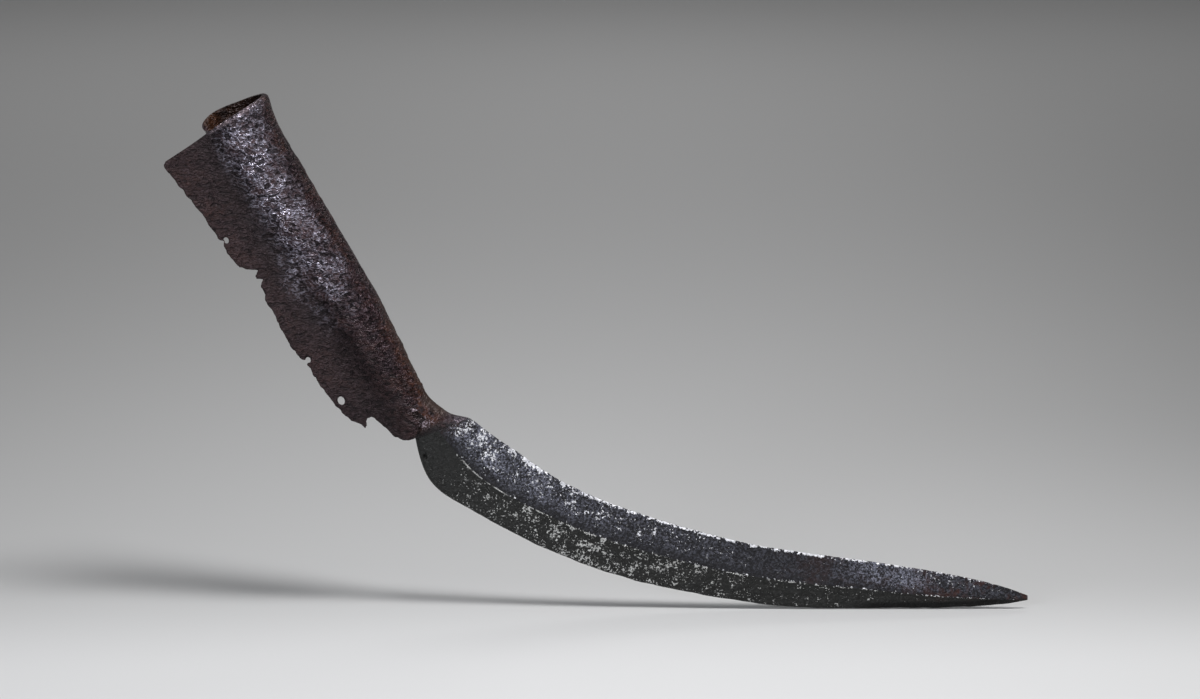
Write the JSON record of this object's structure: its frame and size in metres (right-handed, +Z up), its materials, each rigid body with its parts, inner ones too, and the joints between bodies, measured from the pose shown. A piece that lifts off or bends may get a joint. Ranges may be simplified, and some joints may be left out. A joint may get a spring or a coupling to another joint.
{
  "type": "hand sickle head",
  "caption": "Curved forged blade on an open rolled socket that takes a wooden haft; the haft is missing and the socket's flap is worn ragged.",
  "frame": {"origin": "middle of the socket's mouth", "axes": "+X towards the blade's tip, +Z up with the blade's cutting edge on top, +Y away from the side that carries the flap; the socket's axis leans 32.6 degrees back from +Z towards -X"},
  "size_m": [0.4298, 0.0365, 0.2621],
  "materials": {
    "socket_iron": "brown-purple rust patina, hammered and pitted",
    "neck_iron": "brown rust patina, rubbed",
    "back_iron": "dark grey patina with pale flaking",
    "edge_steel": "dark steel with bright pitted flecks"
  },
  "bodies": {
    "root": {"socket_plate": "socket_iron", "neck_shank": "neck_iron", "blade_back": "back_iron", "blade_edge": "edge_steel"}
  },
  "joints": []
}
